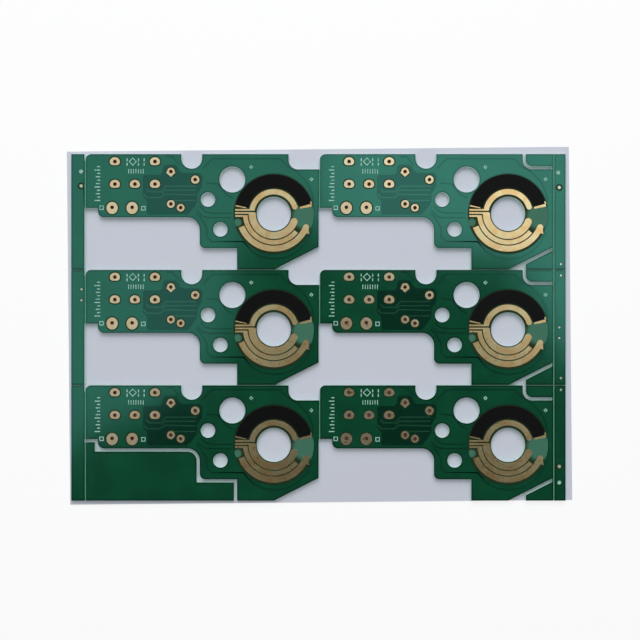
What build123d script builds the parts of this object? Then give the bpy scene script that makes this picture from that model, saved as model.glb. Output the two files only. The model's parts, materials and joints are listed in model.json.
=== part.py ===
"""Bare printed circuit board panel: six rotary-position boards in one routed and V-scored sheet.

Lengths are millimetres. X runs along the panel, Y up its face and Z out of the printed face.
The origin is the middle of the underside. A board is drawn from its own lower left corner,
and a contact pattern from the middle of its shaft hole, with angles in degrees from +X.
"""
import os
from math import atan2, ceil, cos, radians, sin, tan

from build123d import *

os.makedirs("parts", exist_ok=True)

# The sheet and the six boards in it
THICKNESS = 1.6
COLUMNS, ROWS = 2, 3
BOARD_X, BOARD_Y = 59.6, 29.4
LEFT_RAIL, RIGHT_RAIL = 3.6, 3.0
PANEL_X = LEFT_RAIL + COLUMNS * BOARD_X + RIGHT_RAIL
PANEL_Y = ROWS * BOARD_Y
BOARDS_LEFT = LEFT_RAIL - PANEL_X / 2

# V-scores between the boards, cut into both faces
SCORE_DEPTH = 0.4
SCORE_HALF_WIDTH = 0.13

# Outline of one board
TAB_X, TAB_Y = 3.2, 15.7
ARM_Y, ARM_CORNER, ARM_ROOT = 13.3, 1.5, 3.1
NECK_X, NECK_Y, NECK_CORNER = 29.1, 5.45, 1.4
HEAD_X = 38.6
TOP_CORNER = 1.6
NOTCH_X, NOTCH_RADIUS, NOTCH_DEPTH = 27.05, 2.65, 3.7
BITE_X, BITE_DEPTH, BITE_ROOT = 51.7, 3.88, 2.4
SLANT_X, SLANT_Y = 48.0, 5.9
SLANT = atan2(SLANT_Y, BOARD_X - SLANT_X)

# Routed slots that part the waste fillers from the boards
ROUTER = 0.8
SLOT_END_X = 59.2
RAIL_BITE = 0.25

# Drilled holes of one board
SHAFT = (47.95, 14.2)
SHAFT_RADIUS = 4.35
LOCATING_HOLE = (37.4, 22.95)
LOCATING_RADIUS = 3.3
PEG_HOLES = [(31.2, 17.85), (34.35, 10.25)]
PEG_RADIUS = 1.85

# Lead holes of one board, with few flats because the panel has sixty-six: the radius is to a flat
LEAD_PITCH = 5.1
UPPER_LEADS = [(7.5, 27.5), (7.5 + 2 * LEAD_PITCH, 27.5)]
MIDDLE_LEADS = [(7.5 + step * LEAD_PITCH, 21.75) for step in range(3)]
LOWER_LEADS = [(6.8, 15.85), (6.8 + LEAD_PITCH, 15.85)]
SMALL_LEADS = [(21.75, 24.95), (27.95, 22.9), (21.75, 16.7), (24.25, 15.75)]
LEAD_RADIUS, LEAD_FLATS = 0.5, 6

# Contact tracks: radii, then start and end angles, with round sides in flats of about FLAT degrees
COPPER, CARBON = 0.05, 0.03
FLAT, END_FLAT = 18, 45
UPPER_ARC, UPPER_SPAN = (4.95, 6.3), (170, 18)
INNER_ARC, INNER_SPAN = (4.62, 6.3), (177.5, 339)
MIDDLE_ARC, MIDDLE_SPAN = (6.8, 7.72), (182.8, 321.5)
OUTER_ARC, OUTER_SPAN = (8.25, 9.6), (201.7, 337.4)
BARB = [(9.5, 337.5), (10.35, 330.2), (9.4, 329)]
CARBON_ARC, CARBON_SPAN = (6.65, 10), (15, 167)
RIGHT_ELECTRODE = ((6.85, 9.85), (10.8, 15))
LEFT_ELECTRODE = ((7.2, 9.95), (167, 168.8))
LEAD_IN_X, LEAD_IN_WIDTH = -9.85, 0.42
LEAD_IN_Y = {"upper": 1, "inner": 0.22, "middle": -0.56}


def polar(radius, angle):
    """Point at a radius and an angle from +X."""
    return (radius * cos(radians(angle)), radius * sin(radians(angle)))


def on_boards(*spots):
    """Places on the panel of some spots of one board, for all six boards."""
    return [
        (BOARDS_LEFT + column * BOARD_X + x, PANEL_Y / 2 - (row + 1) * BOARD_Y + y)
        for row in range(ROWS)
        for column in range(COLUMNS)
        for x, y in spots
    ]


def filler_slant(x):
    """Height of a filler's slanted side, one slot's width under the board's."""
    return (x - SLANT_X) * tan(SLANT) - ROUTER / cos(SLANT)


def arc_points(radius, start, end, flat=FLAT, middle=(0, 0)):
    """Points along an arc, in equal flats no wider than the angle flat."""
    flats = ceil(abs(end - start) / flat)
    angles = [start + (end - start) * i / flats for i in range(flats + 1)]
    return [(middle[0] + x, middle[1] + y) for x, y in (polar(radius, angle) for angle in angles)]


def ring_sector(radii, span, rounded=False):
    """Stretch of a ring from span's first angle to its last, which may have a full round."""
    inner, outer = radii
    start, end = span
    turn = 180 if end > start else -180
    cap = arc_points(
        (outer - inner) / 2, end, end + turn, END_FLAT, polar((outer + inner) / 2, end)
    )
    with BuildSketch() as sector:
        with BuildLine():
            Polyline(
                *arc_points(outer, start, end),
                *(cap[1:-1] if rounded else []),
                *arc_points(inner, end, start),
                close=True,
            )
        make_face()
    return sector.sketch


def led_in(sector, y, reach):
    """A ring sector with its straight lead-in at height y, up to the radius reach."""
    with BuildSketch() as track:
        add(sector)
        with Locations((LEAD_IN_X, y)):
            Rectangle(-LEAD_IN_X - reach, LEAD_IN_WIDTH, align=(Align.MIN, Align.CENTER))
    return track.sketch


# Gap under a board's arm, open down to the next board's top edge
with BuildSketch() as arm_gap:
    with BuildLine():
        FilletPolyline(
            (-RAIL_BITE, 0), (-RAIL_BITE, TAB_Y), (TAB_X, TAB_Y), (TAB_X, ARM_Y),
            (NECK_X, ARM_Y), (NECK_X, NECK_Y), (HEAD_X, NECK_Y), (HEAD_X, 0),
            radius=[0, 0, 0, ARM_CORNER, ARM_ROOT, NECK_CORNER, 0, 0],
            close=True,
        )
    make_face()

# Half-round notch and rounded corner in a board's top edge, which lies at y = 0
with BuildSketch() as top_gap:
    with Locations((NOTCH_X, NOTCH_RADIUS - NOTCH_DEPTH)):
        Circle(NOTCH_RADIUS)
    with Locations((NOTCH_X, 0)):
        Rectangle(2 * NOTCH_RADIUS, 2 * (NOTCH_DEPTH - NOTCH_RADIUS))
    with BuildLine():
        CenterArc((TOP_CORNER, -TOP_CORNER), TOP_CORNER, 90, 90)
        Polyline((0, -TOP_CORNER), (-RAIL_BITE, -TOP_CORNER), (-RAIL_BITE, 0), (TOP_CORNER, 0))
    make_face()

# Gap at a board's right end: the slant above the row line and the bite below it
with BuildSketch() as end_gap:
    with BuildLine():
        FilletPolyline(
            (SLANT_X, 0), (BOARD_X, SLANT_Y), (BOARD_X, -BITE_DEPTH), (BITE_X, -BITE_DEPTH),
            (BITE_X, 0),
            radius=[0, 0, 0, BITE_ROOT, 0],
            close=True,
        )
    make_face()

# The waste filler that stays in the last row's arm gap, held by the left rail
with BuildSketch() as arm_filler:
    with BuildLine():
        FilletPolyline(
            (-LEFT_RAIL / 2, 0), (-LEFT_RAIL / 2, TAB_Y - ROUTER), (TAB_X - ROUTER, TAB_Y - ROUTER),
            (TAB_X - ROUTER, ARM_Y - ROUTER), (NECK_X - ROUTER, ARM_Y - ROUTER),
            (NECK_X - ROUTER, NECK_Y - ROUTER), (HEAD_X - ROUTER, NECK_Y - ROUTER),
            (HEAD_X - ROUTER, 0),
            radius=[0, 0, 0, 0, ARM_ROOT - ROUTER, 0, 0, 0],
            close=True,
        )
    make_face()

# The waste filler that stays in the right column's end gaps, held by the right rail
with BuildSketch() as end_filler:
    with BuildLine():
        FilletPolyline(
            (BITE_X + ROUTER, filler_slant(BITE_X + ROUTER)), (BOARD_X, filler_slant(BOARD_X)),
            (BOARD_X, ROUTER - BITE_DEPTH), (BITE_X + ROUTER, ROUTER - BITE_DEPTH),
            radius=[0, 0, 0, BITE_ROOT - ROUTER],
            close=True,
        )
    make_face()

# Where the sketches above go: a board's own place, and the row line at each end of it
columns = [BOARDS_LEFT + column * BOARD_X for column in range(COLUMNS)]
row_lines = [PANEL_Y / 2 - row * BOARD_Y for row in range(ROWS + 1)]
score_columns = [*columns, columns[-1] + BOARD_X]

# Section of a V-score, half of it in the sheet
with BuildSketch() as score_groove:
    Polygon(
        (-SCORE_HALF_WIDTH, 0), (0, -SCORE_DEPTH), (SCORE_HALF_WIDTH, 0), (0, SCORE_DEPTH), align=None
    )

# The sheet itself, all six boards and their waste in one piece
with BuildPart() as laminate_panel:
    with BuildSketch():
        Rectangle(PANEL_X, PANEL_Y)
        with Locations(*on_boards((0, 0))):
            add(arm_gap.sketch, mode=Mode.SUBTRACT)
        with Locations(*on_boards((0, BOARD_Y))):
            add(top_gap.sketch, mode=Mode.SUBTRACT)
        with Locations(*[(x, y) for x in columns for y in row_lines]):
            add(end_gap.sketch, mode=Mode.SUBTRACT)
        with Locations((columns[0], row_lines[-1])):
            add(arm_filler.sketch)
        with Locations(*[(columns[-1], y) for y in row_lines]):
            add(end_filler.sketch)
        with Locations(*[(columns[-1] + SLOT_END_X, y) for y in row_lines]):
            Rectangle(BOARD_X - SLOT_END_X, 2 * SLANT_Y, align=(Align.MIN, Align.CENTER))
        Rectangle(PANEL_X, PANEL_Y, mode=Mode.INTERSECT)
        with Locations(*on_boards(SHAFT)):
            Circle(SHAFT_RADIUS, mode=Mode.SUBTRACT)
        with Locations(*on_boards(LOCATING_HOLE)):
            Circle(LOCATING_RADIUS, mode=Mode.SUBTRACT)
        with Locations(*on_boards(*PEG_HOLES)):
            Circle(PEG_RADIUS, mode=Mode.SUBTRACT)
        with Locations(*on_boards(*UPPER_LEADS, *MIDDLE_LEADS, *LOWER_LEADS, *SMALL_LEADS)):
            RegularPolygon(LEAD_RADIUS, LEAD_FLATS, major_radius=False, mode=Mode.SUBTRACT)
    extrude(amount=THICKNESS)
    with BuildSketch(Plane.XZ):
        with Locations(*[(x, z) for x in score_columns for z in (0, THICKNESS)]):
            add(score_groove.sketch)
    extrude(amount=PANEL_Y, both=True, mode=Mode.SUBTRACT)
    with BuildSketch(Plane.YZ):
        with Locations(*[(y, z) for y in row_lines[1:-1] for z in (0, THICKNESS)]):
            add(score_groove.sketch)
    extrude(amount=PANEL_X, both=True, mode=Mode.SUBTRACT)
laminate_panel.part.label = "laminate_panel"
export_step(laminate_panel.part, "parts/laminate_panel.step")

# The gold contacts and the carbon arc that a wiper sweeps, as flat drawings
with BuildSketch() as outer_drawing:
    add(ring_sector(OUTER_ARC, OUTER_SPAN, rounded=True))
    with BuildLine():
        Polyline(*[polar(radius, angle) for radius, angle in BARB], close=True)
    make_face()
drawings = {
    "upper_contact_arcs": led_in(
        ring_sector(UPPER_ARC, UPPER_SPAN, rounded=True), LEAD_IN_Y["upper"], UPPER_ARC[0]
    ),
    "inner_contact_arcs": led_in(
        ring_sector(INNER_ARC, INNER_SPAN, rounded=True), LEAD_IN_Y["inner"], INNER_ARC[0]
    ),
    "middle_contact_arcs": led_in(
        ring_sector(MIDDLE_ARC, MIDDLE_SPAN), LEAD_IN_Y["middle"], MIDDLE_ARC[0]
    ),
    "outer_contact_arcs": outer_drawing.sketch,
    "left_electrodes": ring_sector(*LEFT_ELECTRODE),
    "right_electrodes": ring_sector(*RIGHT_ELECTRODE),
    "carbon_arcs": ring_sector(CARBON_ARC, CARBON_SPAN),
}

# One node for each kind of track, because the six boards carry the same ones
for name, drawing in drawings.items():
    with BuildPart() as track:
        with BuildSketch(Plane.XY.offset(THICKNESS)):
            with Locations(*on_boards(SHAFT)):
                add(drawing)
        extrude(amount=CARBON if name == "carbon_arcs" else COPPER)
    track.part.label = name
    export_step(track.part, f"parts/{name}.step")
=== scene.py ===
"""Looks of a bare circuit board panel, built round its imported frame.

Sizes are millimetres, in the panel's own frame, until a mesh is made in metres. A board is
drawn from its lower left corner, and a contact pattern from the middle of its shaft hole.
Points less than SAME apart are one point.
"""
import json
import logging
import math
from collections.abc import Callable, Iterable
from dataclasses import dataclass, field
from enum import Enum

import bmesh
import bpy
from bpy.types import Material, Mesh, Node, NodeSocket, NodeTree, Object
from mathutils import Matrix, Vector


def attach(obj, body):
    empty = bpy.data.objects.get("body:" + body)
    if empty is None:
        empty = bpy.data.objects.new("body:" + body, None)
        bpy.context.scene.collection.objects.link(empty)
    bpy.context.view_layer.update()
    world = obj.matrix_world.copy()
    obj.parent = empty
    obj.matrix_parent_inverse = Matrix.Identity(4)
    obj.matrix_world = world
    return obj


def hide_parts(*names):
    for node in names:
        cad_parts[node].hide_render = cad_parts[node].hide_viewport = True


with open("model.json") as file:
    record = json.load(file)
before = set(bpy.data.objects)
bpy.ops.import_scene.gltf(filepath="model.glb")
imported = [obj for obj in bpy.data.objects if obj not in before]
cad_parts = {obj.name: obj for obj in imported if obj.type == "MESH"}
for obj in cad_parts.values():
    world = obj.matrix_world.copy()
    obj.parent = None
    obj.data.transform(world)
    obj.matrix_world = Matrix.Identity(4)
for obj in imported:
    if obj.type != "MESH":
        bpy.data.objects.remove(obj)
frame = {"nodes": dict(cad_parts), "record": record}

LOG = logging.getLogger("panel")
MM = 0.001
SAME = 1e-4
ROOT = "root"
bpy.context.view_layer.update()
SMOOTH = {"interpolation_type": "SMOOTHSTEP"}

Point = tuple[float, float]
Loop = list[Point]
Colour = tuple[float, float, float, float]


class Slot(Enum):
    """Material slots of the record that match the pieces."""

    MASK = "green_fr4"
    GOLD = "gold_plating"
    CARBON = "carbon_ink"


class LandShape(Enum):
    """Outlines that a land round a lead hole can have."""

    ROUND = "round"
    OVAL = "oval"
    FLAT_FOOT = "flat foot"
    TEARDROP = "teardrop"


class Turn(Enum):
    """Ways round an arc, seen from above."""

    LEFT = 1
    RIGHT = -1


def linear(code: str) -> Colour:
    """Turn an sRGB hex colour to linear red, green and blue, with full opacity."""
    digits = code.lstrip("#")
    parts = [int(digits[i : i + 2], 16) / 255 for i in (0, 2, 4)]
    red, green, blue = (c / 12.92 if c <= 0.04045 else ((c + 0.055) / 1.055) ** 2.4 for c in parts)
    return (red, green, blue, 1.0)


def empty_tree(holder: Material | bpy.types.World) -> NodeTree:
    """Give a material or a world a node tree with nothing in it."""
    holder.use_nodes = True
    holder.node_tree.nodes.clear()
    return holder.node_tree


def add_node(
    tree: NodeTree, kind: str, settings: dict | str | None = None, *values: object, **inputs: object
) -> Node:
    """Add one node with its settings, its values and its links.

    Args:
        tree: Node tree that takes the node.
        kind: Blender's name for the type of node.
        settings: Attributes of the node, set before its inputs, or its operation alone.
        *values: Value, socket or node for each of the first inputs. A node stands for its
            first output in use.
        **inputs: The same for other inputs. The key is the input's name with underscores for
            spaces, or in_ and its number.

    Returns:
        The new node.
    """
    node = tree.nodes.new(kind)
    if isinstance(settings, str):
        settings = {"operation": settings}
    for key, value in (settings or {}).items():
        setattr(node, key, value)
    for key, value in ({f"in_{i}": v for i, v in enumerate(values)} | inputs).items():
        name = key.replace("_", " ")
        socket = node.inputs[int(key[3:])] if key.startswith("in_") else node.inputs[name]
        if isinstance(value, Node):
            value = next(out for out in value.outputs if out.enabled)
        if isinstance(value, NodeSocket):
            tree.links.new(value, socket)
        else:
            socket.default_value = value
    return node


def link_object(name: str, data: bpy.types.ID) -> Object:
    """Make an object of some data and put it in the scene."""
    made = bpy.data.objects.new(name, data)
    bpy.context.scene.collection.objects.link(made)
    return made


def polar(radius: float, angle: float, middle: Point = (0.0, 0.0)) -> Point:
    """Point at a radius and an angle in degrees from a middle."""
    turn = math.radians(angle)
    return (middle[0] + radius * math.cos(turn), middle[1] + radius * math.sin(turn))


def arc(
    radius: float, start: float, end: float, middle: Point = (0.0, 0.0), step: float = 3.0
) -> Loop:
    """Points along an arc, both ends included.

    Args:
        radius: Radius in millimetres.
        start: First angle in degrees.
        end: Last angle in degrees, less than start for an arc that runs clockwise.
        middle: Centre of the arc.
        step: Widest angle between two points.

    Returns:
        The points in order.
    """
    count = max(2, math.ceil(abs(end - start) / step))
    return [polar(radius, start + (end - start) * i / count, middle) for i in range(count + 1)]


def circle(radius: float, middle: Point = (0.0, 0.0), count: int = 32) -> Loop:
    """Closed round loop with a number of points."""
    return [polar(radius, 360 * i / count, middle) for i in range(count)]


def moved(loop: Iterable[Point], shift: Point) -> Loop:
    """A loop shifted by a step in x and y."""
    return [(x + shift[0], y + shift[1]) for x, y in loop]


def signed_area(loop: Loop) -> float:
    """Area inside a loop, positive where it runs anticlockwise."""
    pairs = zip(loop, loop[1:] + loop[:1])
    return sum(a[0] * b[1] - b[0] * a[1] for a, b in pairs) / 2


def as_hole(loop: Loop) -> Loop:
    """The loop, running clockwise as the edge of a hole does."""
    return loop if signed_area(loop) < 0 else loop[::-1]


def as_sheet(loop: Loop) -> Loop:
    """The loop, running anticlockwise as the edge of a sheet does."""
    return as_hole(loop)[::-1]


def sides(points: Loop) -> list[Vector]:
    """Steps from each point to the next."""
    return [Vector((b[0] - a[0], b[1] - a[1])) for a, b in zip(points, points[1:])]


def mitre(corner: Point, first: Vector, second: Vector, distance: float) -> Point:
    """Where a corner goes when its two sides move to their left."""
    first, second = first.normalized(), second.normalized()
    normal = Vector((-first.y - second.y, first.x + second.x))
    sharpest = 0.3
    reach = distance / max(normal.length_squared / 2, sharpest)
    return (corner[0] + normal.x * reach, corner[1] + normal.y * reach)


def inset(loop: Loop, distance: float) -> Loop:
    """Move a closed loop to its left, which is into the sheet that it bounds.

    Args:
        loop: Points that run anticlockwise round a sheet or clockwise round a hole.
        distance: How far each side moves, in millimetres.

    Returns:
        One new point for each old one, with mitred corners.
    """
    points = [p for i, p in enumerate(loop) if math.dist(p, loop[i - 1]) > SAME]
    steps = sides([*points, points[0]])
    return [mitre(p, steps[i - 1], steps[i], distance) for i, p in enumerate(points)]


def ribbon(path: Iterable[Point], width: float) -> Loop:
    """Closed outline of a line of some width, with mitred bends and blunt ends."""
    points = list(path)
    steps = sides(points)
    steps = [steps[0], *steps, steps[-1]]
    left, right = (
        [mitre(p, steps[i], steps[i + 1], half) for i, p in enumerate(points)]
        for half in (width / 2, -width / 2)
    )
    return left + right[::-1]


def cut_necks(loop: Loop, width: float) -> list[Loop]:
    """Part a sheet's outline wherever a slot's end leaves only a narrow neck of it.

    Args:
        loop: Outer outline of the sheet, anticlockwise.
        width: Widest neck that is cut.

    Returns:
        Outlines of the pieces, without the necks themselves.
    """
    shortest, near_end = 4 * width, 0.001
    for i, corner in enumerate(loop):
        for j, start in enumerate(loop):
            k = (j + 1) % len(loop)
            side = Vector(loop[k]) - Vector(start)
            if i in (j, k) or side.length < shortest:
                continue
            along = (Vector(corner) - Vector(start)).dot(side) / side.length_squared
            foot = Vector(start) + side * along
            across = Vector(corner) - foot
            within = side.x * across.y - side.y * across.x > 0
            if within and near_end < along < 1 - near_end and across.length < width:
                turned = loop[k:] + loop[:k]
                split = turned.index(corner)
                parts = (turned[: split + 1] + [tuple(foot)], turned[split:] + [tuple(foot)])
                return [piece for part in parts for piece in cut_necks(part, width)]
    return [loop] if signed_area(loop) > width else []


def encloses(loop: Iterable[Point], spot: Point) -> bool:
    """Whether a spot lies inside a closed loop."""
    points = list(loop)
    found = False
    for (ax, ay), (bx, by) in zip(points, points[1:] + points[:1]):
        if (ay > spot[1]) != (by > spot[1]):
            found ^= spot[0] < ax + (spot[1] - ay) * (bx - ax) / (by - ay)
    return found


def film_mesh(
    name: str, loops: Iterable[Loop], low: float, high: float, edge: float = 0.0
) -> Mesh:
    """Make a flat film with holes from its outlines.

    Args:
        name: Name of the mesh.
        loops: Outer loops anticlockwise and holes clockwise, in millimetres.
        low: Height of the underside.
        high: Height of the top.
        edge: Radius of the rounding along the rims.

    Returns:
        A closed mesh in metres, with flat faces.
    """
    curve = bpy.data.curves.new(name, "CURVE")
    curve.dimensions = "2D"
    curve.fill_mode = "BOTH"
    curve.extrude = (high - low) / 2 - edge
    curve.bevel_depth = edge
    curve.bevel_resolution = 1
    curve.offset = -edge
    for loop in loops:
        spline = curve.splines.new("POLY")
        spline.points.add(len(loop) - 1)
        for point, (x, y) in zip(spline.points, loop):
            point.co = (x, y, 0, 1)
        spline.use_cyclic_u = True
    holder = link_object(name, curve)
    graph = bpy.context.evaluated_depsgraph_get()
    mesh = bpy.data.meshes.new_from_object(holder.evaluated_get(graph))
    bpy.data.objects.remove(holder)
    for vertex in mesh.vertices:
        vertex.co = (vertex.co.x * MM, vertex.co.y * MM, (vertex.co.z + (low + high) / 2) * MM)
    work = bmesh.new()
    work.from_mesh(mesh)
    bmesh.ops.remove_doubles(work, verts=work.verts, dist=SAME * MM)
    bmesh.ops.recalc_face_normals(work, faces=work.faces)
    for face in work.faces:
        face.smooth = False
    work.to_mesh(mesh)
    work.free()
    return mesh


def film(
    name: str, loops: Iterable[Loop], low: float, high: float, finish: Material, edge: float = 0.0
) -> Object:
    """A dressed film in the scene, with what film_mesh takes."""
    piece = link_object(name, film_mesh(name, loops, low, high, edge))
    piece.data.materials.append(finish)
    return piece


@dataclass(frozen=True)
class PanelLayout:
    """Places of the six boards, read from the frame's shaft bores.

    Attributes:
        shaft: Middle of a board's shaft hole, from the board's lower left corner.
        top: Height of the laminate's printed face.
    """

    shaft: Point = (47.95, 14.2)
    top: float = 1.6

    @property
    def shafts(self) -> list[Point]:
        """Middles of the shaft holes on the panel."""
        bores = [m for m in frame["record"]["mounts"] if m["name"].startswith("shaft_bore")]
        return [(m["pos_m"][0] / MM, m["pos_m"][1] / MM) for m in bores]

    @property
    def columns(self) -> list[float]:
        """Different places of the shaft holes along the panel."""
        return sorted({round(x, 3) for x, _ in self.shafts})

    @property
    def rows(self) -> list[float]:
        """Different places of the shaft holes up the panel."""
        return sorted({round(y, 3) for _, y in self.shafts})

    def from_shaft(self, spot: Point) -> Point:
        """A board's spot, seen from its shaft hole."""
        return (spot[0] - self.shaft[0], spot[1] - self.shaft[1])

    def loop_from_shaft(self, loop: Iterable[Point]) -> Loop:
        """A board's loop, drawn from its shaft hole."""
        return moved(loop, self.from_shaft((0.0, 0.0)))

    def on_boards(self, spot: Point) -> list[Point]:
        """Where a board's spot lies on the panel, for all the boards."""
        return moved(self.shafts, self.from_shaft(spot))


class BoardRepeat:
    """Geometry node tree that repeats one board's worth of a piece over the panel."""

    def __init__(self, layout: PanelLayout) -> None:
        """Build the tree once, for all the pieces that use it."""
        columns, rows = layout.columns, layout.rows
        middle = [sum(places) / len(places) * MM for places in (columns, rows)]
        self.values = {
            "Columns": len(columns),
            "Rows": len(rows),
            "Length": (columns[-1] - columns[0]) * MM,
            "Height": (rows[-1] - rows[0]) * MM,
            "Middle": (*middle, 0.0),
        }
        self.tree = tree = bpy.data.node_groups.new("Repeat over the boards", "GeometryNodeTree")
        kinds = ("Geometry", "Int", "Int", "Float", "Float", "Vector", "Material")
        for name, kind in zip(("Geometry", *self.values, "Finish"), kinds):
            tree.interface.new_socket(name, in_out="INPUT", socket_type=f"NodeSocket{kind}")
        tree.interface.new_socket("Geometry", in_out="OUTPUT", socket_type="NodeSocketGeometry")
        given = add_node(tree, "NodeGroupInput").outputs
        grid = add_node(
            tree,
            "GeometryNodeMeshGrid",
            Size_X=given["Length"],
            Size_Y=given["Height"],
            Vertices_X=given["Columns"],
            Vertices_Y=given["Rows"],
        )
        placed = add_node(tree, "GeometryNodeTransform", Geometry=grid, Translation=given["Middle"])
        copies = add_node(
            tree, "GeometryNodeInstanceOnPoints", Points=placed, Instance=given["Geometry"]
        )
        real = add_node(tree, "GeometryNodeRealizeInstances", Geometry=copies)
        dressed = add_node(tree, "GeometryNodeSetMaterial", Geometry=real, Material=given["Finish"])
        add_node(tree, "NodeGroupOutput", Geometry=dressed)

    def spread(self, name: str, mesh: Mesh, finish: Material) -> Object:
        """Repeat a mesh that is drawn from the shaft hole, and dress it.

        Args:
            name: Name of the piece.
            mesh: One board's worth of the piece, in metres.
            finish: Material of the piece.

        Returns:
            A plain mesh object at the origin.
        """
        piece = link_object(name, mesh)
        piece.data.materials.append(finish)
        modifier = piece.modifiers.new("Repeat", "NODES")
        modifier.node_group = self.tree
        values = self.values | {"Finish": finish}
        for socket in self.tree.interface.items_tree:
            if socket.name in values:
                modifier[socket.identifier] = values[socket.name]
        graph = bpy.context.evaluated_depsgraph_get()
        whole = bpy.data.meshes.new_from_object(piece.evaluated_get(graph))
        piece.modifiers.remove(modifier)
        piece.data = whole
        whole.name = name
        return piece


class Surface:
    """A material in the making, with nodes that say where a point lies, in millimetres."""

    def __init__(self, name: str, layout: PanelLayout) -> None:
        """Start the material, and wrap the panel's coordinates round each shaft hole."""
        self.material = bpy.data.materials.new(name)
        self.tree = empty_tree(self.material)
        self.given = self.add("ShaderNodeTexCoord").outputs
        self.panel = self.add("ShaderNodeVectorMath", "SCALE", self.given["Object"], Scale=1 / MM)
        (left, right, *_), (bottom, above, *_) = layout.columns, layout.rows
        first = self.add("ShaderNodeVectorMath", "SUBTRACT", self.panel, (left, bottom, 0.0))
        headroom = 50.0
        half = Vector(((right - left) / 2, (above - bottom) / 2, headroom))
        self.from_shaft = self.add("ShaderNodeVectorMath", "WRAP", first, half, -half)

    def add(self, kind: str, *values: object, **inputs: object) -> Node:
        """Add a node to the material, with what add_node takes."""
        return add_node(self.tree, kind, *values, **inputs)

    def noise(self, size: float, detail: float, stretch: tuple = (1, 1, 1)) -> Node:
        """Noise with features of a real size.

        Args:
            size: Size of a feature in millimetres.
            detail: Octaves of finer noise.
            stretch: How much finer the noise is along each axis.

        Returns:
            The noise, from 0 to 1.
        """
        mapping = self.add("ShaderNodeMapping", Vector=self.panel, Scale=stretch)
        return self.add("ShaderNodeTexNoise", Vector=mapping, Scale=1 / size, Detail=detail)

    def weave(self, pitch: float) -> Node:
        """Height of a plain weave whose threads lie a pitch apart, from -1 to 1."""
        turned = self.add("ShaderNodeVectorMath", "SCALE", self.panel, Scale=2 * math.pi / pitch)
        waves = self.add("ShaderNodeVectorMath", "SINE", turned)
        parts = self.add("ShaderNodeSeparateXYZ", Vector=waves).outputs
        return self.add("ShaderNodeMath", "MULTIPLY", parts["X"], parts["Y"])

    def near(self, spot: Point, radius: float, fade: float) -> Node:
        """1 within a radius of a spot seen from each shaft hole, fading to 0 outside it."""
        flat = self.add("ShaderNodeVectorMath", "MULTIPLY", self.from_shaft, (1.0, 1.0, 0.0))
        away = self.add("ShaderNodeVectorMath", "DISTANCE", flat, (*spot, 0.0))
        levels = {"From_Min": radius + fade, "From_Max": radius}
        return self.add("ShaderNodeMapRange", SMOOTH, Value=away, **levels)

    def painted(self, base: str | Node, *layers: tuple) -> Node:
        """Lay colours over a base colour.

        Args:
            base: Hex colour, or a node that gives one.
            *layers: A value, the two levels between which it brings a colour in, or None
                where the value is the colour's share itself, and that colour.

        Returns:
            The node that gives the mixed colour.
        """
        mixed = base
        for value, levels, colour in layers:
            if levels:
                start, end = levels
                value = self.add(
                    "ShaderNodeMapRange", SMOOTH, Value=value, From_Min=start, From_Max=end
                )
            under, over = (linear(c) if isinstance(c, str) else c for c in (mixed, colour))
            mixed = self.add("ShaderNodeMix", {"data_type": "RGBA"}, value, in_6=under, in_7=over)
        return mixed


@dataclass(frozen=True)
class Finish:
    """A procedural finish of two shades, on a surface with a fine grain.

    Attributes:
        name: Name of the material.
        colour: Main colour.
        shade: Second colour, where the noise of the patches is low.
        roughness: How blurred the surface mirrors.
        uneven: How far noise takes the roughness down and up.
        worn: Size of the patches of that noise, and its octaves.
        metallic: 1 for a metal.
        ior: Index of refraction, the shader's own if none is given.
        reach: Strength of the gloss, the shader's own if none is given.
        tint: Colour of the gloss.
        patch: Size of the patches of colour, and their octaves of noise.
        levels: Noise values between which one shade turns to the other.
        grit: Size of the surface's grain, and its octaves of noise.
        stretch: How much finer the grain is along each axis.
        weave: Distance between the threads that show through, and their share of the height.
        bump: Strength of the grain's bumps, and their height. Without it the surface is smooth.
    """

    name: str
    colour: str
    shade: str | None = None
    roughness: float = 0.5
    uneven: Point | None = None
    metallic: float = 0.0
    ior: float | None = None
    reach: float | None = None
    tint: str = "#ffffff"
    patch: Point = (0.3, 4.0)
    levels: Point | None = None
    grit: Point = (0.1, 3.0)
    stretch: tuple = (1, 1, 1)
    weave: Point | None = None
    bump: Point | None = None
    worn: Point = (0.8, 4.0)

    def paint(self, made: Surface, grain: Node | None) -> Node | Colour:
        """Mix the shades on a surface with some grain."""
        if not self.shade:
            return linear(self.colour)
        return made.painted(self.shade, (made.noise(*self.patch), self.levels, self.colour))

    def make(self, layout: PanelLayout) -> Material:
        """Build the material."""
        made = Surface(self.name, layout)
        grain = made.noise(*self.grit, self.stretch) if self.bump else None
        inputs = {
            "Base_Color": self.paint(made, grain),
            "Roughness": self.roughness,
            "Metallic": self.metallic,
            "IOR": self.ior,
            "Specular_IOR_Level": self.reach,
            "Specular_Tint": linear(self.tint),
        }
        if self.uneven:
            low, high = (self.roughness + step for step in self.uneven)
            noise = made.noise(*self.worn)
            inputs["Roughness"] = made.add(
                "ShaderNodeMapRange", Value=noise, To_Min=low, To_Max=high
            )
        if self.weave:
            pitch, share = self.weave
            threads = made.weave(pitch)
            grain = made.add("ShaderNodeMath", "MULTIPLY_ADD", threads, share, grain)
        if self.bump:
            strength, height = self.bump
            inputs["Normal"] = made.add(
                "ShaderNodeBump", Strength=strength, Distance=height * MM, Height=grain
            )
        given = {key: value for key, value in inputs.items() if value is not None}
        shader = made.add("ShaderNodeBsdfPrincipled", **given)
        made.add("ShaderNodeOutputMaterial", Surface=shader)
        return made.material


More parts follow.
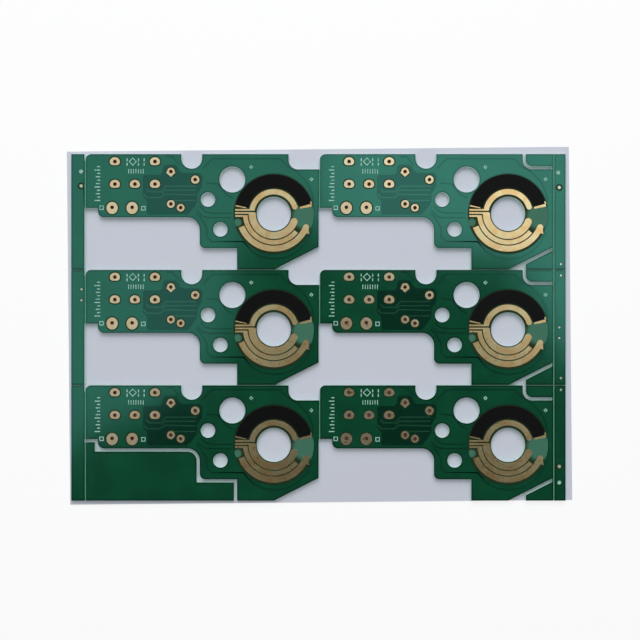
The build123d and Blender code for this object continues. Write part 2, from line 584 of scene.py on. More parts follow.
@dataclass(frozen=True)
class SolderMask(Finish):
    """Liquid photoimageable solder mask, a hard epoxy film of 25 microns with a wet gloss.

    It mirrors the room sharply, and the copper under it gives that reflection a green tint
    and more strength than clear epoxy alone. Over copper it is a clear green. Over bare
    laminate it lies lower and looks darker. The glass weave shows as a faint ripple.
    """

    roughness: float = 0.12
    ior: float = 1.7
    reach: float = 1.0
    tint: str = "#8efff1"
    patch: Point = (6.0, 3.0)
    levels: Point = (0.3, 0.7)
    grit: Point = (0.35, 4.0)
    weave: Point = (0.5, 0.35)
    bump: Point = (0.35, 0.004)


@dataclass(frozen=True)
class GlassEpoxy(Finish):
    """Routed glass-epoxy laminate: plies of woven glass show as pale lines along the cut edges.

    Where the mask leaves the face bare it is dark, partly for the copper under it and partly
    as a painted shade of the narrow gaps beside the gold and the mask, and a translucent mint
    where no copper backs it. The V-scores that run across the window's light get a darker
    colour, a painted shade, than those that run along it. The underside keeps its green mask.

    Attributes:
        scored: Colour of a groove that faces sideways, and scored_in_painted_shade of any other:
        the same groove colour darkened as a painted shade, since those run across the light.
        bare: Colour of the bare face, dark partly for the copper under it and partly as a painted
        shade of the narrow gaps, and window of the places with no copper behind them.
        ply: Thickness of a ply, and ply_line the depths between which its line fades.
        sideways: Values of the normal along X between which a groove turns from its painted
        shade to its plain colour, and upright those along Z from a cut edge to a groove.
        level: Values along Z from a groove to the face.
    """

    name: str = "Glass_epoxy_laminate"
    colour: str = "#ecfff7"
    shade: str = "#cbe8da"
    ior: float = 1.5
    reach: float = 0.2
    grit: Point = (0.12, 3.0)
    stretch: tuple = (1, 1, 4)
    bump: Point = (0.5, 0.01)
    scored: str = "#8ccbae"
    # Painted shade: the groove colour made darker for grooves that run across the window's light.
    scored_in_painted_shade: str = "#6b9681"
    # Dark partly for the copper under the bare face, partly as a painted shade of the narrow gaps
    # beside the gold and the mask.
    bare: str = "#1c2f17"
    window: str = "#3d6e59"
    under: str = "#0f4a30"
    ply: float = 0.2
    ply_line: Point = (0.03, 0.07)
    windows: tuple = (((8.0, -0.7), 2.5, 1.3), ((-9.2, -2.2), 0.7, 0.5))
    sideways: Point = (0.3, 0.6)
    upright: Point = (0.15, 0.25)
    level: Point = (0.93, 0.97)

    def paint(self, made: Surface, grain: Node | None) -> Node:
        """Colour the cut edges, the grooves and both faces by the way they look."""
        height = made.add("ShaderNodeSeparateXYZ", Vector=made.panel).outputs["Z"]
        plies = made.add("ShaderNodeMath", "PINGPONG", height, self.ply / 2)
        start, end = self.ply_line
        line = made.add("ShaderNodeMapRange", SMOOTH, Value=plies, From_Min=start, From_Max=end)
        frayed = made.add("ShaderNodeMath", "MULTIPLY", line, grain)
        windows = [made.near(*window) for window in self.windows]
        patches = made.add("ShaderNodeMath", "MAXIMUM", *windows)
        facing = made.add("ShaderNodeSeparateXYZ", Vector=made.given["Normal"]).outputs
        along, upward = made.add("ShaderNodeMath", "ABSOLUTE", facing["X"]), facing["Z"]
        edge = made.painted(self.shade, (frayed, None, self.colour))
        # Grooves that run along X, across the window's light, get the painted shade; those along Y
        # keep the plain groove colour.
        groove = made.painted(self.scored_in_painted_shade, (along, self.sideways, self.scored))
        face = made.painted(self.bare, (patches, None, self.window))
        below = [-value for value in self.level]
        layers = ((self.upright, groove), (self.level, face), (below, self.under))
        return made.painted(edge, *((upward, *layer) for layer in layers))


@dataclass(frozen=True)
class ImmersionGold(Finish):
    """Gold plated over etched copper, a satin metal with the copper's fine grain under it.

    The lands have a paler gold than the arcs, since their copper is thicker and smoother.
    """

    name: str = "Immersion_gold_on_copper"
    colour: str = "#fad595"
    shade: str = "#ffedb6"
    roughness: float = 0.285
    uneven: Point = (-0.06, 0.08)
    metallic: float = 1.0
    patch: Point = (2.4, 3.0)
    levels: Point = (0.35, 0.7)
    grit: Point = (0.06, 3.0)
    bump: Point = (0.2, 0.0008)


@dataclass(frozen=True)
class HolePlating(Finish):
    """Plated copper inside the lead holes, redder than the gold on the lands, and darker: partly
    the copper's own tone, partly a painted shade of the deep, narrow holes.
    """

    name: str = "Plated_hole_copper_painted_shade"
    # Darker than the land gold partly as a painted shade of the deep, narrow hole.
    colour: str = "#b8692c"
    shade: str = "#8c451a"
    roughness: float = 0.55
    metallic: float = 1.0


@dataclass(frozen=True)
class CarbonInk(Finish):
    """Carbon resistor ink, screen printed: a flat black with the screen's mesh just visible."""

    name: str = "Screen_printed_carbon"
    colour: str = "#0a0b0b"
    shade: str = "#070707"
    ior: float = 1.5
    reach: float = 0.12
    patch: Point = (1.2, 4.0)
    weave: Point = (0.14, 0.25)
    bump: Point = (0.4, 0.006)


@dataclass(frozen=True)
class LegendInk(Finish):
    """White epoxy legend ink, screened thinly enough to let the green through in places."""

    name: str = "Screened_legend_ink"
    colour: str = "#a9cfc0"
    shade: str = "#6aa590"
    roughness: float = 0.55
    ior: float = 1.5
    levels: Point = (0.35, 0.6)


@dataclass(frozen=True)
class RoutedEdge(Finish):
    """Torn glass fibre along a routed edge, a matt mint white where the mask has chipped off."""

    name: str = "Routed_glass_fibre_edge"
    colour: str = "#a9cbbd"
    shade: str = "#5f947c"
    roughness: float = 0.7
    ior: float = 1.5
    patch: Point = (0.35, 4.0)
    levels: Point = (0.35, 0.65)


@dataclass(frozen=True)
class PlainPaper(Finish):
    """Uncoated paper or board of one colour, with a faint fibre grain."""

    roughness: float = 0.9
    grit: Point = (0.4, 4.0)
    bump: Point = (0.15, 0.02)


@dataclass(frozen=True)
class Finishes:
    """Every finish of the panel, made once."""

    laminate: Material
    mask: Material
    low_mask: Material
    track_mask: Material
    rim: Material
    gold: Material
    land_gold: Material
    barrel: Material
    tin: Material
    carbon: Material
    ink: Material

    @classmethod
    def make(cls, layout: PanelLayout) -> "Finishes":
        """Build the materials for a layout, in the order of the fields."""
        finishes = (
            GlassEpoxy(),
            SolderMask("Solder_mask_over_copper", "#0d4a2d", "#0b4128"),
            SolderMask("Solder_mask_over_laminate", "#072d1c", "#062819", reach=0.8),
            SolderMask("Solder_mask_over_tracks", "#204d34", "#1c462e"),
            RoutedEdge(),
            ImmersionGold(),
            ImmersionGold("Immersion_gold_on_lands", "#fbe3b4", "#fff3cb"),
            HolePlating(),
            ImmersionGold("Tinned_copper", "#d3e2c6", "#eaf2dc", 0.4),
            CarbonInk(),
            LegendInk(),
        )
        return cls(*(finish.make(layout) for finish in finishes))


def register(piece: Object, slot: Slot | None, *replaced: str) -> None:
    """Tie a finished piece to the frame and report it.

    Args:
        piece: Finished mesh object.
        slot: Material slot of the record that matches the piece, if it has one. Not used.
        *replaced: CAD nodes that it stands for.
    """
    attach(piece, ROOT)
    if replaced:
        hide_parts(*replaced)
    LOG.info("%s: %d faces", piece.name, len(piece.data.polygons))


@dataclass(frozen=True)
class LeadHole:
    """One plated lead hole and the land round it.

    Attributes:
        spot: Place on the board.
        shape: Outline of the land.
        width: Half the land's width.
        height: Half its height.
        drop: How far the land's middle lies under the hole's.
        foot: How far under the hole a flat foot lies.
        blend: How sharply the foot's corners turn.
        tip: How far under the hole a teardrop's tip lies.
        taper: Slope of the sides that lead to the tip.
    """

    spot: Point
    shape: LandShape
    width: float
    height: float
    drop: float = 0.0
    foot: float = 0.95
    blend: float = 8.0
    tip: float = 1.36
    taper: float = 0.9

    def reach(self, angle: float, extra: float = 0.0) -> float:
        """Distance from the hole's middle to the land's rim.

        Args:
            angle: Direction in degrees.
            extra: How much further out the rim lies, as for the mask's opening.

        Returns:
            The distance in millimetres.
        """
        x, y = polar(1.0, angle)
        wide, tall = self.width + extra, self.height + extra
        a = (x / wide) ** 2 + (y / tall) ** 2
        b = y * self.drop / tall**2
        c = (self.drop / tall) ** 2 - 1
        oval = (-b + math.sqrt(b * b - a * c)) / a
        if self.shape is LandShape.FLAT_FOOT and y < 0:
            foot = (self.foot + extra) / -y
            return (oval**-self.blend + foot**-self.blend) ** (-1 / self.blend)
        if self.shape is LandShape.TEARDROP and y < 0:
            tip = (self.tip + extra) / (-y + self.taper * abs(x))
            return max(oval, min(tip, self.tip + extra))
        return oval


@dataclass
class PlatedLands:
    """Gold lands round the lead holes, and the plating inside the holes.

    Attributes:
        hole: Radius inside the plating.
        wall: Thickness of the plating in the hole, with the copper under it.
        throat: Depth over which the hole narrows from the land to that radius.
        raised: Height of the land over the laminate.
        under: How far the lower land stands out of the underside.
        lip: Rounding at the hole's mouth and along the rim.
        bevel: Share of the lip's radius that a corner's cut takes.
        profile: Steps of the throat from the narrow part up, as how far out in the wall and
            how far down in the throat they lie.
        segments: Steps round a land.
        pitch: Distance between two terminals.
        holes: Lead holes of one board, by the name of their lands.
    """

    layout: PanelLayout
    hole: float = 0.33
    wall: float = 0.15
    throat: float = 0.28
    raised: float = 0.045
    under: float = 0.002
    lip: float = 0.014
    bevel: float = 0.3
    profile: tuple[Point, ...] = ((0.0, 1.0), (0.25, 0.5), (0.7, 0.12))
    segments: int = 28
    pitch: float = 5.1
    holes: dict[str, list[LeadHole]] = field(init=False)

    def __post_init__(self) -> None:
        """Place the lead holes."""
        flat, oval, plain = LandShape.FLAT_FOOT, LandShape.OVAL, LandShape.ROUND
        upper = [(7.5 + 2 * self.pitch * i, 27.5) for i in range(2)]
        middle = [(7.5 + self.pitch * i, 21.75) for i in range(3)]
        lower = [(6.8 + self.pitch * i, 15.85) for i in range(2)]
        self.holes = {
            "terminal_lands": [LeadHole(s, flat, 1.3, 1.16, 0.04) for s in upper + middle],
            "oval_lands": [LeadHole(s, oval, 1.44, 1.55, 0.16) for s in lower],
            "wire_lands": [
                LeadHole((21.75, 24.95), LandShape.TEARDROP, 0.98, 1.0),
                LeadHole((27.95, 22.9), plain, 1.06, 1.06),
                LeadHole((21.75, 16.7), plain, 1.0, 1.0),
                LeadHole((24.25, 15.75), plain, 0.98, 0.98),
            ],
        }

    @property
    def all_holes(self) -> list[LeadHole]:
        """Every lead hole of one board."""
        return [hole for group in self.holes.values() for hole in group]

    @property
    def angles(self) -> list[float]:
        """Directions of the steps round a land."""
        return [360 * i / self.segments for i in range(self.segments)]

    def land_sections(self, hole: LeadHole, angle: float) -> list[Loop]:
        """Sections through a land and the one under it at one angle, as radii and heights."""
        base = self.layout.top
        top = base + self.raised
        rim, lip, inside = hole.reach(angle), self.lip, self.hole + self.wall
        cut, below = self.bevel * lip, min(hole.width, hole.height)
        upper = [
            (inside, base),
            (inside, top - cut),
            (inside + lip - cut, top),
            (rim - lip, top),
            (rim - cut, top - cut),
            (rim, top - lip),
            (rim, base),
        ]
        return [upper, [(inside, 0.0), (below, 0.0), (below, -self.under), (inside, -self.under)]]

    def barrel_sections(self, hole: LeadHole, angle: float) -> list[Loop]:
        """Section through the plating of a hole, the same at every angle."""
        top = self.layout.top + self.raised - self.bevel * self.lip
        inside, outside = self.hole, self.hole + self.wall
        throat = [(inside + x * self.wall, top - y * self.throat) for x, y in self.profile]
        rim = [(outside - self.lip, top), (outside, top), (outside, -self.under)]
        return [[(inside, -self.under), *throat, *rim]]

    def swept(self, holes: list[LeadHole], name: str, sections: Callable) -> Mesh:
        """Sweep sections round some holes of one board.

        Args:
            holes: Holes to go round.
            name: Name of the mesh.
            sections: Gives the closed sections at a hole and an angle.

        Returns:
            A mesh in metres, drawn from the shaft hole.
        """
        work = bmesh.new()
        for hole in holes:
            middle = self.layout.from_shaft(hole.spot)
            for index in range(len(sections(hole, 0.0))):
                rings = []
                for angle in self.angles:
                    spots = [(*polar(r, angle, middle), z) for r, z in sections(hole, angle)[index]]
                    rings.append([work.verts.new([v * MM for v in spot]) for spot in spots])
                for ring, after in zip(rings, rings[1:] + rings[:1]):
                    for j, corner in enumerate(ring):
                        k = (j + 1) % len(ring)
                        work.faces.new((corner, after[j], after[k], ring[k]))
        bmesh.ops.recalc_face_normals(work, faces=work.faces)
        mesh = bpy.data.meshes.new(name)
        work.to_mesh(mesh)
        work.free()
        return mesh

    def openings(self, clearance: float, bare: Iterable[Point] = ()) -> list[Loop]:
        """Holes in a film round the lands of the panel.

        Args:
            clearance: How far a hole stands clear of its land.
            bare: Area of a board that the film leaves out, so its lands need no holes.

        Returns:
            Loops that run clockwise.
        """
        loops = []
        for hole in self.all_holes:
            if not encloses(bare, hole.spot):
                rim = [polar(hole.reach(a, clearance), a) for a in self.angles]
                loops += [as_hole(moved(rim, spot)) for spot in self.layout.on_boards(hole.spot)]
        return loops

    def build(self, repeat: BoardRepeat, finishes: Finishes) -> None:
        """Make the lands and the plating of all the boards."""
        for name, holes in self.holes.items():
            mesh = self.swept(holes, name, self.land_sections)
            register(repeat.spread(name, mesh, finishes.land_gold), Slot.GOLD)
        mesh = self.swept(self.all_holes, "hole_plating", self.barrel_sections)
        register(repeat.spread("hole_plating", mesh, finishes.barrel), None)


@dataclass
class ContactPattern:
    """Gold contact arcs, electrodes and the carbon arc that a wiper sweeps.

    Angles in degrees from the panel's length are those of the CAD tracks, and radii are within
    0.15 mm of theirs, as plating spreads over the copper's sides. The round sides are true arcs
    here, and their rims are rounded. An arc has two radii, and a span of two angles or the
    angle where it ends. A lead is the height of the lead-in's middle line.
    """

    layout: PanelLayout
    opening: float = 10.2
    opening_steps: int = 120
    cap_step: float = 15.0
    gold_height: float = 0.05
    carbon_height: float = 0.03
    rim: float = 0.012
    lead_in: float = -9.85
    lead_half: float = 0.21
    upper: Point = (4.95, 6.3)
    upper_end: float = 18.0
    upper_lead: float = 1.0
    inner: Point = (4.62, 6.4)
    inner_span: Point = (177.5, 339.0)
    inner_lead: float = 0.22
    inner_chamfer: float = 0.35
    middle: Point = (6.69, 7.83)
    middle_end: float = 321.5
    middle_lead: float = -0.56
    outer: Point = (8.12, 9.62)
    outer_span: Point = (201.7, 337.4)
    barb_root: float = 329.0
    barb_tip: Point = (10.35, 330.2)
    barb_foot: float = 0.6
    carbon: Point = (6.65, 10.0)
    carbon_span: Point = (15.0, 167.0)
    right_electrode: Point = (6.85, 9.85)
    right_span: Point = (10.8, 15.0)
    right_stub: Point = (9.72, 10.04)
    stub_start: float = 0.3
    stub_end: float = 18.6
    left_electrode: Point = (7.2, 9.95)
    left_span: Point = (167.0, 168.8)

    def cap(self, radii: Point, angle: float, turn: Turn) -> Loop:
        """Half round at the end of an arc, from its outer side to its inner one."""
        half = (radii[1] - radii[0]) / 2
        middle = polar((radii[0] + radii[1]) / 2, angle)
        return arc(half, angle, angle + 180 * turn.value, middle, self.cap_step)[1:-1]

    def lead(self, height: float) -> tuple[Point, Point]:
        """Lower and upper corner at the start of a lead-in."""
        low, high = height - self.lead_half, height + self.lead_half
        return (self.lead_in, low), (self.lead_in, high)

    def join(self, corner: Point, radius: float) -> float:
        """Angle where a lead-in's side from some corner meets an arc's left side."""
        return 180 - math.degrees(math.asin(corner[1] / radius))

    def sector(self, radii: Point, span: Point) -> Loop:
        """Stretch of a ring with square ends."""
        return arc(radii[1], *span) + arc(radii[0], span[1], span[0])

    def right_loop(self) -> Loop:
        """Outline of the right electrode, with a short stub along the carbon's outer side."""
        inside, outside = self.right_electrode
        start, end = self.right_span
        stub = end - self.stub_start
        return [
            *arc(outside, start, stub),
            *arc(self.right_stub[1], stub, self.stub_end),
            *arc(self.right_stub[0], self.stub_end, end),
            *arc(inside, end, start),
        ]

    def upper_loop(self) -> Loop:
        """Outline of the upper arc with its lead-in."""
        low, high = self.lead(self.upper_lead)
        inside, outside = self.upper
        end = self.upper_end
        return [
            low,
            high,
            *arc(outside, self.join(high, outside), end),
            *self.cap(self.upper, end, Turn.RIGHT),
            *arc(inside, end, self.join(low, inside)),
        ]

    def inner_loop(self) -> Loop:
        """Outline of the inner arc with its lead-in."""
        low, high = self.lead(self.inner_lead)
        inside, outside = self.inner
        start, end = self.inner_span
        return [
            low,
            *arc(outside, self.join(low, outside), end),
            *self.cap(self.inner, end, Turn.LEFT),
            *arc(inside, end, start),
            (-inside - self.inner_chamfer, high[1]),
            high,
        ]

    def middle_loop(self) -> Loop:
        """Outline of the middle arc with its lead-in."""
        low, high = self.lead(self.middle_lead)
        inside, outside = self.middle
        end = self.middle_end
        return [
            low,
            *arc(outside, self.join(low, outside), end),
            *arc(inside, end, self.join(high, inside)),
            high,
        ]

    def outer_loop(self) -> Loop:
        """Outline of the outer arc with the barb at its end."""
        inside, outside = self.outer
        start, end = self.outer_span
        return [
            *arc(outside, start, self.barb_root),
            polar(*self.barb_tip),
            polar(outside, end - self.barb_foot),
            *self.cap(self.outer, end, Turn.LEFT),
            *arc(inside, end, start),
        ]

    def openings(self, wider: float = 0.0) -> list[Loop]:
        """The mask's round opening at every shaft hole, made wider by some distance."""
        reach, count = self.opening + wider, self.opening_steps
        return [as_hole(circle(reach, spot, count)) for spot in self.layout.shafts]

    def build(self, repeat: BoardRepeat, finishes: Finishes) -> None:
        """Make the tracks of all the boards, which replace the CAD nodes of the same name."""
        gold = (self.gold_height, finishes.gold, Slot.GOLD)
        carbon = (self.carbon_height, finishes.carbon, Slot.CARBON)
        top = self.layout.top
        for node, loop, (height, finish, slot) in (
            ("upper_contact_arcs", self.upper_loop(), gold),
            ("inner_contact_arcs", self.inner_loop(), gold),
            ("middle_contact_arcs", self.middle_loop(), gold),
            ("outer_contact_arcs", self.outer_loop(), gold),
            ("left_electrodes", self.sector(self.left_electrode, self.left_span), gold),
            ("right_electrodes", self.right_loop(), gold),
            ("carbon_arcs", self.sector(self.carbon, self.carbon_span), carbon),
        ):
            mesh = film_mesh(node, [as_sheet(loop)], top, top + height, self.rim)
            register(repeat.spread(f"printed_{node}", mesh, finish), slot, node)


@dataclass
class RailMarks:
    """Tinned fiducials and dots on the two rails, and spots where the mask has chipped off."""

    layout: PanelLayout
    fiducials: tuple[Point, ...] = ((-60.4, 36.0), (61.3, 35.6), (61.3, -35.4))
    dots: tuple[Point, ...] = (
        (-60.3, 9.7), (-60.3, 6.9), (61.7, 16.1), (61.7, 13.2), (61.3, 0.0), (61.3, -2.7),
        (61.7, -12.9), (61.7, -15.9),
    )
    spots: tuple[Point, ...] = ((-60.4, 39.7), (61.0, 39.4), (61.3, -39.5))
    fiducial_radius: float = 0.42
    fiducial_opening: float = 0.85
    dot_radius: float = 0.29
    dot_opening: float = 0.38
    dot_steps: int = 20
    tin_steps: int = 28
    spot_radius: float = 0.5
    spot_steps: int = 24
    spot_heights: Point = (0.034, 0.045)
    height: float = 0.04
    rim: float = 0.01

    def openings(self, wider: Point = (0.0, 0.0)) -> list[Loop]:
        """Holes in the mask round the fiducials and the dots, each made wider by a distance."""
        rims = [circle(self.fiducial_opening + wider[0], spot) for spot in self.fiducials]
        rims += [circle(self.dot_opening + wider[1], spot, self.dot_steps) for spot in self.dots]
        return [as_hole(rim) for rim in rims]

    def build(self, finishes: Finishes) -> None:
        """Make the three kinds of mark."""
        tin = (0.0, self.height, finishes.tin, self.rim, self.tin_steps)
        worn = (*self.spot_heights, finishes.rim, 0.0, self.spot_steps)
        top = self.layout.top
        for name, spots, radius, (low, high, finish, edge, count) in (
            ("rail_fiducials", self.fiducials, self.fiducial_radius, tin),
            ("rail_dots", self.dots, self.dot_radius, tin),
            ("rail_spots", self.spots, self.spot_radius, worn),
        ):
            loops = [circle(radius, spot, count) for spot in spots]
            register(film(name, loops, top + low, top + high, finish, edge), None)


@dataclass
class MaskFilms:
    """The printed face's solder mask: a low film on the laminate and a raised one over copper.

    Attributes:
        low_height: Thickness of the mask on bare laminate.
        high: Height of the mask over copper, above the laminate.
        track_height: Height of the mask over a thin track.
        sunk: Height at which the raised films start, inside the low one.
        rim: Rounding along the raised films' rims.
        trim: How far the low film stays in from the laminate's edges.
        copper_trim: How far the copper stays in from them.
        gap: Width of the bare strips that part the tracks from the copper round them.
        track: Width of the mask's ridge over a thin track.
        low_clearance: How far the low film stands clear of a land.
        high_clearance: How far the raised one does.
        contact_clearance: How far it stays behind the low one at the contact pattern.
        mark_clearances: How far it stays behind at a fiducial and at a dot.
        smallest_hole: Area of the smallest hole in the laminate that counts.
        gaps: Middle lines of the bare strips, on one board.
        bare: Outline of the part of a board that has no sheet of copper.
        tracks: Middle lines of the thin tracks that cross it.
    """

    layout: PanelLayout
    lands: PlatedLands
    contacts: ContactPattern
    marks: RailMarks
    low_height: float = 0.012
    high: float = 0.036
    track_height: float = 0.03
    sunk: float = 0.004
    rim: float = 0.008
    trim: float = 0.03
    copper_trim: float = 0.32
    gap: float = 0.3
    track: float = 0.28
    low_clearance: float = 0.28
    high_clearance: float = 0.34
    contact_clearance: float = 0.15
    mark_clearances: Point = (0.1, 0.08)
    smallest_hole: float = 1.5
    gaps: tuple[tuple[Point, ...], ...] = (
        (
            (29.9, 25.7), (32.3, 28.2), (49.6, 28.2), (51.2, 26.4), (54.2, 24.6), (56.3, 22.3),
            (57.6, 19.7), (58.0, 17.2),
        ),
        (
            (57.5, 9.6), (56.4, 7.1), (54.3, 4.8), (51.5, 3.2), (48.2, 2.65), (44.9, 3.15),
            (42.3, 4.6), (40.2, 7.1), (32.1, 7.1), (30.9, 8.4), (30.9, 10.7), (29.1, 13.5),
            (28.2, 14.3),
        ),
        ((30.7, 22.0), (33.6, 21.8), (34.7, 20.5), (35.9, 19.0), (37.5, 18.2)),
        ((29.2, 16.0), (30.6, 14.7), (32.2, 14.35), (37.2, 14.35)),
        ((28.4, 15.07), (29.9, 13.5), (31.4, 13.2), (37.2, 13.2)),
        ((20.6, 28.75), (22.1, 28.75), (24.0, 26.5)),
    )
    bare: tuple[Point, ...] = (
        (15.7, 14.3), (15.7, 17.4), (14.6, 18.6), (14.6, 23.5), (15.1, 24.1), (18.9, 24.1),
        (19.5, 24.6), (19.8, 26.3), (20.3, 26.7), (22.9, 26.7), (23.4, 26.3), (24.1, 25.0),
        (24.8, 24.6), (29.2, 24.6), (29.9, 23.6), (29.6, 21.0), (28.5, 19.4), (28.4, 17.2),
        (27.4, 15.6), (26.0, 14.0), (16.0, 14.0),
    )
    tracks: tuple[tuple[Point, ...], ...] = (
        ((15.5, 20.6), (16.2, 19.8), (19.2, 19.8), (20.5, 21.25), (28.2, 21.25)),
        ((14.8, 19.2), (15.7, 18.3), (19.0, 18.3), (20.3, 19.2), (28.2, 19.0)),
        ((19.5, 19.35), (20.3, 20.2), (28.2, 20.2)),
        ((22.2, 17.6), (28.0, 17.6)),
    )

    def sheet_loops(self) -> list[Loop]:
        """Outlines of the laminate's printed face, with the larger holes that mask surrounds.

        Returns:
            Outer loops anticlockwise and holes clockwise, in millimetres.
        """
        work = bmesh.new()
        work.from_mesh(frame["nodes"]["laminate_panel"].data)
        bmesh.ops.remove_doubles(work, verts=work.verts, dist=1e-6)
        level, slack = 0.99, 0.01
        upward = [f for f in work.faces if f.normal.z > level]
        top = [f for f in upward if f.calc_center_median().z / MM > self.layout.top - slack]
        chosen = set(top)
        after = {}
        for corner in (corner for face in top for corner in face.loops):
            if not any(f in chosen for f in corner.edge.link_faces if f != corner.face):
                after.setdefault(corner.vert, []).append(corner.link_loop_next.vert)
        loops = []
        while after:
            start = here = next(iter(after))
            loop = []
            while here in after:
                loop.append((here.co.x / MM, here.co.y / MM))
                onward = after[here]
                following = onward.pop()
                if not onward:
                    del after[here]
                here = following
                if here is start:
                    break
            loops.append(loop)
        work.free()
        shafts, opening = self.layout.shafts, self.contacts.opening
        large = [loop for loop in loops if abs(signed_area(loop)) > self.smallest_hole]
        return [loop for loop in large if all(math.dist(loop[0], s) >= opening for s in shafts)]

    def low_loops(self, sheets: list[Loop]) -> list[Loop]:
        """Outlines of the film on the laminate."""
        return [
            *(inset(loop, self.trim) for loop in sheets),
            *self.lands.openings(self.low_clearance),
            *self.contacts.openings(),
            *self.marks.openings(),
        ]

    def high_loops(self, sheets: list[Loop]) -> list[Loop]:
        """Outlines of the film over the sheets of copper."""
        outer = [loop for loop in sheets if signed_area(loop) > 0]
        whole = [piece for loop in outer for piece in cut_necks(loop, 2 * self.copper_trim)]
        whole += [loop for loop in sheets if signed_area(loop) < 0]
        left_out = [ribbon(path, self.gap) for path in self.gaps] + [list(self.bare)]
        return [
            *(inset(loop, self.copper_trim) for loop in whole),
            *self.lands.openings(self.high_clearance, self.bare),
            *self.on_panel(as_hole(loop) for loop in left_out),
            *self.contacts.openings(self.contact_clearance),
            *self.marks.openings(self.mark_clearances),
        ]

    def on_panel(self, loops: Iterable[Loop]) -> list[Loop]:
        """A board's loops, on every board of the panel."""
        layout = self.layout
        placed = [layout.loop_from_shaft(loop) for loop in loops]
        return [moved(loop, spot) for loop in placed for spot in layout.shafts]

    def build(self, finishes: Finishes) -> None:
        """Make the films and the ridges over the thin tracks."""
        sheets = self.sheet_loops()
        low, high = self.low_loops(sheets), self.high_loops(sheets)
        ridges = self.on_panel(as_sheet(ribbon(path, self.track)) for path in self.tracks)
        top, sunk, rim = self.layout.top, self.sunk, self.rim
        for name, loops, start, end, edge, finish in (
            ("mask_on_laminate", low, 0.0, self.low_height, 0.0, finishes.low_mask),
            ("mask_over_copper", high, sunk, self.high, rim, finishes.mask),
            ("mask_over_tracks", ridges, sunk, self.track_height, rim, finishes.track_mask),
        ):
            register(film(name, loops, top + start, top + end, finish, edge), Slot.MASK)


@dataclass
class Legend:
    """Plain printed marks, where such boards have their markings.

    They are ticks, bars and squares in a row, and say nothing. The column's marks have a
    length each, and the scale's a height each, but for one that is a diamond.
    """

    layout: PanelLayout
    stroke: float = 0.2
    heights: Point = (0.034, 0.045)
    column_left: float = 2.35
    column_right: float = 3.75
    column_stroke: float = 0.27
    column_bottom: float = 17.6
    column_step: float = 0.86
    column_marks: tuple[float, ...] = (1.0, 0.55, 0.8, 0.55, 1.0, 0.8, 0.55, 0.8, 0.55, 1.0, 0.55)
    scale_left: float = 10.6
    scale_step: float = 1.45
    scale_heights: tuple[float, ...] = (1.9, 2.1, 1.9, 1.9)
    scale_break: Point = (0.4, 0.6)
    scale_ring: int = 1
    scale_bottom: float = 26.45
    fine_left: float = 11.0
    fine_step: float = 0.62
    fine_count: int = 7
    fine_bottom: float = 24.45
    fine_height: float = 1.15
    squares: tuple[Point, ...] = ((4.1, 15.75), (14.75, 15.6))
    square: float = 0.55
    diamonds: tuple[Point, ...] = ((42.2, 26.1), (57.5, 23.0))
    diamond: float = 0.52

    def ring(self, radius: float, middle: Point, first: float = 0.0) -> list[Loop]:
        """Stroke round a square whose first corner lies at an angle, as a loop and a hole."""
        outer = [polar(radius, first + 90 * k, middle) for k in range(4)]
        return [outer, as_hole(inset(outer, self.stroke))]

    def column(self) -> list[Loop]:
        """Level marks one over another."""
        right, loops = self.column_right, []
        for i, length in enumerate(self.column_marks):
            y = self.column_bottom + i * self.column_step
            left = right - (right - self.column_left) * length
            loops.append(ribbon([(left, y), (right, y)], self.column_stroke))
        return loops

    def scale(self) -> list[Loop]:
        """Upright marks in a row, broken in the middle, and a diamond among them."""
        low, loops = self.scale_bottom, []
        first, second = self.scale_break
        for i, height in enumerate(self.scale_heights):
            x = self.scale_left + i * self.scale_step
            if i == self.scale_ring:
                loops += self.ring(height / 2, (x, low + height / 2))
                continue
            for start, end in ((low, low + first * height), (low + second * height, low + height)):
                loops.append(ribbon([(x, start), (x, end)], self.column_stroke))
        return loops

    def groups(self) -> dict[str, list[Loop]]:
        """Loops of each group of marks, on one board."""
        bottom, top = self.fine_bottom, self.fine_bottom + self.fine_height
        places = [self.fine_left + i * self.fine_step for i in range(self.fine_count)]
        squares = [self.ring(self.square * math.sqrt(2), spot, 45) for spot in self.squares]
        signs = squares + [self.ring(self.diamond, spot) for spot in self.diamonds]
        return {
            "legend_column": self.column(),
            "legend_scale": self.scale(),
            "legend_fine_ticks": [ribbon([(x, bottom), (x, top)], self.stroke) for x in places],
            "legend_signs": [loop for sign in signs for loop in sign],
        }

    def build(self, repeat: BoardRepeat, finishes: Finishes) -> None:
        """Print every group on all the boards."""
        low, high = (self.layout.top + height for height in self.heights)
        for name, loops in self.groups().items():
            placed = [self.layout.loop_from_shaft(loop) for loop in loops]
            mesh = film_mesh(name, placed, low, high)
            register(repeat.spread(name, mesh, finishes.ink), None)


@dataclass(frozen=True)
class SoftLamp:
    """One softbox that lights the scene, and that no gloss mirrors. Sizes are in metres.

    Attributes:
        name: Name of the lamp.
        place: Middle of the softbox.
        size: Width and height of it.
        level: Radiance, where 1 looks white.
        colour: Colour of the light.
    """

    name: str
    place: tuple[float, float, float]
    size: Point
    level: float
    colour: str

    def build(self) -> None:
        """Hang the lamp, facing the middle of the panel."""
        lamp = bpy.data.lights.new(self.name, "AREA")
        lamp.shape = "RECTANGLE"
        lamp.size, lamp.size_y = self.size
        lamp.energy = self.level * math.pi * self.size[0] * self.size[1]
        lamp.color = linear(self.colour)[:3]
        hung = link_object(self.name, lamp)
        hung.location = self.place
        hung.rotation_euler = (-Vector(self.place)).to_track_quat("-Z", "Y").to_euler()
        hung.visible_camera = False
        hung.visible_glossy = False


